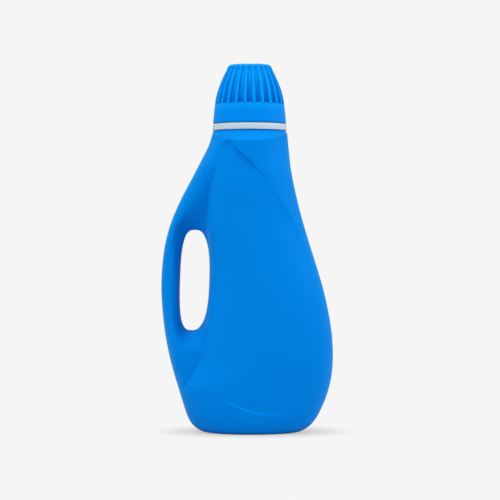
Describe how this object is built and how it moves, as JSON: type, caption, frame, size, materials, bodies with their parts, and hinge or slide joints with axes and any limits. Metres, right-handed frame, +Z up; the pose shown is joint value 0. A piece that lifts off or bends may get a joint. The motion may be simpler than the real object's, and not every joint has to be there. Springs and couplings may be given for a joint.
{
  "type": "laundry detergent bottle",
  "caption": "Blow-moulded liquid bottle with a through handle, a grey pouring fitment on its neck and a fluted screw-on dosing cap.",
  "frame": {"origin": "on the floor, under the neck axis", "axes": "+Z up along the neck, -X toward the handle, front and back alike along Y"},
  "size_m": [0.13, 0.0762, 0.2774],
  "materials": {
    "bottle_blue": "satin blown plastic",
    "fitment_grey": "satin moulded plastic",
    "cap_blue": "satin moulded plastic",
    "seal_grey": "soft foam washer"
  },
  "bodies": {
    "bottle_body": {"bottle": "bottle_blue", "pour_spout": "fitment_grey"},
    "seal_body": {"cap_seal": "seal_grey"},
    "cap_body": {"dosing_cap": "cap_blue"}
  },
  "joints": [
    {"name": "cap_lift", "type": "slide", "parent": "bottle_body", "child": "seal_body", "axis": [0, 0, 1], "range_m": [0, 0.06]},
    {"name": "cap_turn", "type": "hinge", "parent": "seal_body", "child": "cap_body", "pos_m": [0, 0, 0.25], "axis": [0, 0, 1], "range_deg": [0, 360]}
  ]
}
